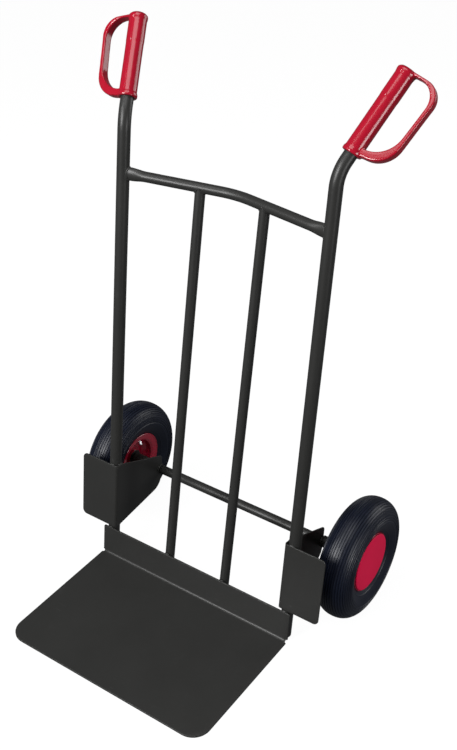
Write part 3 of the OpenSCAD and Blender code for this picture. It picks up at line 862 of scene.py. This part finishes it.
def grip_sleeve():
    """Sleeve with soft collars, a parting step and a closed, rounded end; open at its mouth."""
    start, end, r = GRIP_START, GRIP_END, GRIP_R
    corners = [(12.55, 60, 0), (12.55, start + 1.2, 0), (13.4, start, 0.5), (r + 1.1, start, 1.4),
               (r + 1.6, start + 2.2, 1.8), (r + 1.6, start + 6.6, 2.2), (r, start + 9.8, 2.5),
               (r - 0.1, start + 60, 0),
               (r - 0.1, start + 106, 0.5), (r + 0.3, start + 107.2, 0.5), (r + 0.3, end - 14, 3),
               (r + 1.3, end - 9, 3),
               (r + 1.4, end - 4.5, 4), (r - 3, end - 0.4, 4.0), (8, end, 2), (0, end, 0)]
    return turned(np.concatenate([rounded(corners, 6, closed=False), [(0, 60)]]), 96, loop=True)


def round_path(path, per_arc=20, between=8):
    """Points of a path of four (along, out, radius): straight ends, two true arcs and the run between them."""
    arcs = []
    for before, (x, y, radius), after in zip(path, path[1:], path[2:]):
        here = np.array((x, y), float)
        towards, onward = np.array(before[:2]) - here, np.array(after[:2]) - here
        towards, onward = towards / np.linalg.norm(towards), onward / np.linalg.norm(onward)
        half = math.acos(towards @ onward) / 2
        centre = here + (towards + onward) / np.linalg.norm(towards + onward) * radius / math.sin(half)
        first = here + towards * radius / math.tan(half) - centre
        last = here + onward * radius / math.tan(half) - centre
        a, b = math.atan2(first[1], first[0]), math.atan2(last[1], last[0])
        b = b - 2 * math.pi * round((b - a) / (2 * math.pi))
        turns = np.linspace(a, b, per_arc)
        arcs.append(centre + radius * np.stack([np.cos(turns), np.sin(turns)], -1))
    run = np.linspace(arcs[0][-1], arcs[1][0], between + 2)[1:-1]
    return np.concatenate([[path[0][:2]], arcs[0], run, arcs[1], [path[-1][:2]]])


def guard_band():
    """Knuckle guard: a strap with round edges, thicker at its foot, from the mouth to the sleeve's top."""
    start, end, out, thick, flare = GRIP_START, GRIP_END, 75.0, 8.0, 7.0
    outside = round_path([(start + 1, 2, 0), (start + 10, out - flare, 45), (end - 2.5, out, 32), (end - 0.6, 2, 0)])
    opening = round_path([(start + 16.5, 2, 0), (start + 17.5, out - flare - thick, 50), (end - 4, out - thick, 35),
                          (end - 7.5, 2, 0)])
    away = np.array([math.cos(GRIP_TURN), math.sin(GRIP_TURN), 0])
    across = np.array([-math.sin(GRIP_TURN), math.cos(GRIP_TURN), 0])
    rings = []
    for first, second in zip(outside, opening):
        middle, reach = (first + second) / 2, (first - second) / 2
        half = np.linalg.norm(reach)
        section = rounded([(half, 9.25, 3.2), (-half, 9.25, 3.2), (-half, -9.25, 3.2), (half, -9.25, 3.2)], 6)
        normal = (Z_AXIS * reach[0] + away * reach[1]) / half
        rings.append(Z_AXIS * middle[0] + away * middle[1] + np.outer(section[:, 0], normal)
                     + np.outer(section[:, 1], across))
    return tube(np.array(rings))


def grip():
    """Sleeve and knuckle guard moulded as one, with soft fillets where they meet."""
    points, faces = joined(grip_sleeve(), guard_band())
    mesh = bpy.data.meshes.new("grip_raw")
    mesh.from_pydata((points * MM).tolist(), [], faces)
    raw = bpy.data.objects.new("grip_raw", mesh)
    bpy.context.scene.collection.objects.link(raw)
    remesh = raw.modifiers.new("melt", "REMESH")
    remesh.mode, remesh.voxel_size, remesh.adaptivity = "VOXEL", 0.9 * MM, 0.0
    smooth = raw.modifiers.new("soften", "SMOOTH")
    smooth.factor, smooth.iterations = 0.5, 16
    bpy.context.view_layer.update()
    final = raw.evaluated_get(bpy.context.evaluated_depsgraph_get()).to_mesh()
    points = np.array([v.co for v in final.vertices]) / MM
    faces = [tuple(p.vertices) for p in final.polygons]
    raw.to_mesh_clear()
    bpy.data.objects.remove(raw)
    return handled(points), faces


# ---------------------------------------------------------------- the whole truck

pair("upright_tube", tube(upright_rings(UPRIGHT_R), upright_rings(UPRIGHT_R - WALL)), COAT,
     stands_for=["upright"])
piece("crossbar_tube", tube(leaned(crossbar_rings(0)), leaned(crossbar_rings(WALL))), COAT, "frame",
      ["crossbar"])
pair("inner_bar_tube", tube(bar_rings(BAR_R), bar_rings(BAR_R - WALL)), COAT,
     stands_for=["inner_bar"])
piece("bent_load_plate", load_plate(), COAT, "frame", ["load_plate"], crease=50)
pair("bent_wheel_guard", wheel_guard(), COAT, stands_for=["wheel_guard"], crease=50)
piece("welded_axle", axle(), COAT, "frame", ["axle"])
piece("weld_beads", welds(), COAT, "frame", crease=70)
pair("moulded_grip", grip(), MOULDING, stands_for=["grip"], crease=60)
# The spacer's dark coat and the inner washer's dark steel are partly their own finish, partly painted shade that
# keeps the hub's mouth dark; the outer washer stays bright zinc.
pair("axle_spacer", spacer(), COAT, stands_for=["spacer"])
pair("inner_washer_painted_shade", washer(10.1, 17.5, -13.3, -11.3), SPRING_STEEL_AND_SHADE, stands_for=["inner_washer"])
pair("outer_axle_washer", washer(10.1, 17.5, 16.3, 18.2), ZINC, stands_for=["outer_washer"])

tyre_points, tyre_faces = tyre()
pair("ribbed_tyre", (wheeled(tyre_points), tyre_faces), RUBBER, "wheel", ["tyre"], crease=32)
pair("pressed_inner_rim", rim(False), ENAMEL, "wheel", ["inner_rim"])
pair("pressed_outer_rim", rim(True), ENAMEL, "wheel", ["outer_rim"])
pair("hub_tube", hub(), ENAMEL, "wheel", ["hub"])
pair("flat_hub_cap", hub_cap(), CAP, "wheel", ["hub_cap"])
pair("valve_stem", valve(), NICKEL, "wheel", ["valve"])
pair("knurled_valve_cap", valve_cap(), NICKEL, "wheel", ["valve_cap"])

carried = {"inner_tube": BUTYL, "roller_cage": NYLON, "rollers": GROUND, "retaining_ring": SPRING_STEEL_AND_SHADE}
for part, finish in carried.items():
    for side in ("left", "right"):
        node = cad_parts[f"{side}_{part}"]
        node.data.materials.clear()
        node.data.materials.append(finish)

# ---------------------------------------------------------------- floor, light and camera


def floor():
    """Pale floor that turns up into a dome, lit by itself so that it casts nothing on the truck."""
    rise = np.radians(np.linspace(0, 90, 13))
    wide, high, sweep = 9000.0, 7000.0, 2500.0
    profile = [(0, 0), (1500, 0)] + [(wide - sweep + sweep * math.sin(t), sweep - sweep * math.cos(t)) for t in rise]
    profile += [(wide * math.cos(t), sweep + (high - sweep) * math.sin(t)) for t in rise[1:-1]] + [(0, high)]
    points, faces = turned(np.array(profile), 64, loop=False)
    mesh = bpy.data.meshes.new("studio_floor")
    mesh.from_pydata((points * MM).tolist(), [], faces)
    made = bpy.data.objects.new("studio_floor", mesh)
    bpy.context.scene.collection.objects.link(made)
    f = Finish("pale_studio_floor")
    mesh.materials.append(f.surface(Base_Color=(0.05, 0.05, 0.05, 1), Roughness=0.9, Specular_IOR_Level=0.1,
                                    Emission_Color=(1, 1, 1, 1), Emission_Strength=0.965))
    made.visible_diffuse = made.visible_glossy = made.visible_shadow = False


def softbox(name, place, aim, size, power, tint=(1, 1, 1)):
    light = bpy.data.lights.new(name, "AREA")
    light.shape, light.size, light.size_y = "RECTANGLE", size[0], size[1]
    light.energy, light.color = power, tint
    made = bpy.data.objects.new(name, light)
    made.location = place
    made.rotation_euler = (Vector(aim) - Vector(place)).to_track_quat("-Z", "Y").to_euler()
    bpy.context.scene.collection.objects.link(made)


def camera():
    turn, rise, roll = 0.617205, 0.587040, -0.010142
    back = Vector((math.sin(turn) * math.cos(rise), -math.cos(turn) * math.cos(rise), math.sin(rise)))
    right = back.cross(Vector((0, 0, 1))) * -1
    right.normalize()
    up = back.cross(right)
    x = right * math.cos(roll) + up * math.sin(roll)
    y = up * math.cos(roll) - right * math.sin(roll)
    data = bpy.data.cameras.new("product_camera")
    data.sensor_width, data.lens = 36.0, 54.573
    data.clip_start, data.clip_end = 0.05, 100
    made = bpy.data.objects.new("product_camera", data)
    made.matrix_world = Matrix(((x[0], y[0], back[0], 1.08181), (x[1], y[1], back[1], -1.38010),
                                (x[2], y[2], back[2], 1.72275), (0, 0, 0, 1)))
    bpy.context.scene.collection.objects.link(made)
    bpy.context.scene.camera = made


def surroundings():
    world = bpy.data.worlds.new("soft_studio")
    bpy.context.scene.world = world
    world.use_nodes = True
    world.node_tree.nodes["Background"].inputs["Color"].default_value = (0.93, 0.95, 1, 1)
    world.node_tree.nodes["Background"].inputs["Strength"].default_value = 0.13


floor()
surroundings()
softbox("front_key", (-1.0, -3.1, 2.2), (0, 0, 0.5), (1.3, 1.5), 205)
softbox("overhead_fill", (0.1, -0.6, 3.4), (0, 0, 0), (2.0, 2.0), 62)
softbox("highlight_strip", (-1.75, -1.75, 2.5), (0, 0, 0.9), (0.1, 1.3), 22)
softbox("rear_fill", (2.0, 2.8, 1.3), (0, 0, 0.4), (2.0, 2.0), 50)
softbox("right_side", (3.2, -0.5, 0.9), (0.3, 0.17, 0.3), (1.1, 1.1), 44)
camera()
bpy.context.scene.view_settings.view_transform = "Standard"
